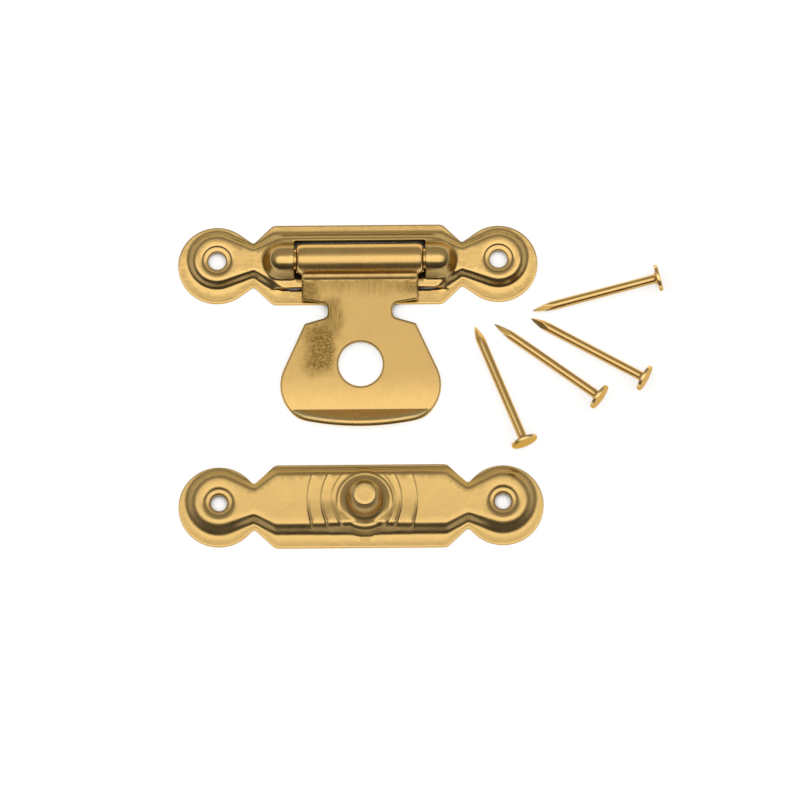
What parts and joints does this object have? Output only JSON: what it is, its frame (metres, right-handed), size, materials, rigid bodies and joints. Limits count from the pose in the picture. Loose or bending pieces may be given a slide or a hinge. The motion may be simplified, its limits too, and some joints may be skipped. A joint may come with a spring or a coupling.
{
  "type": "case lock",
  "caption": "Small pressed-sheet case hasp: hinge plate with a swinging holed leaf, stud plate with a drawn stud, and loose flat-headed nails.",
  "frame": {"origin": "midway between the hinge plate's two nail holes, on the back plane of the plates", "axes": "+X along the plates, +Z out of the case surface, the leaf hangs towards -Y"},
  "size_m": [0.0542, 0.0368, 0.0049],
  "materials": {
    "hinge_plate": "bright brass plating on pressed steel sheet",
    "hinge_pin": "plain drawn wire, brass plated",
    "hasp_leaf": "brass plating with fine brushing",
    "stud_plate": "satin brass plating on pressed steel sheet",
    "nail_1": "brass-plated steel wire",
    "nail_2": "brass-plated steel wire",
    "nail_3": "brass-plated steel wire",
    "nail_4": "brass-plated steel wire"
  },
  "bodies": {
    "plates": {"hinge_plate": "hinge_plate", "hinge_pin": "hinge_pin", "stud_plate": "stud_plate", "nail_1": "nail_1", "nail_2": "nail_2", "nail_3": "nail_3", "nail_4": "nail_4"},
    "hasp": {"hasp_leaf": "hasp_leaf"}
  },
  "joints": [
    {"name": "hasp_hinge", "type": "hinge", "parent": "plates", "child": "hasp", "pos_m": [0.00023, -0.00022, 0.00195], "axis": [-1, 0, 0], "range_deg": [0, 186]}
  ]
}
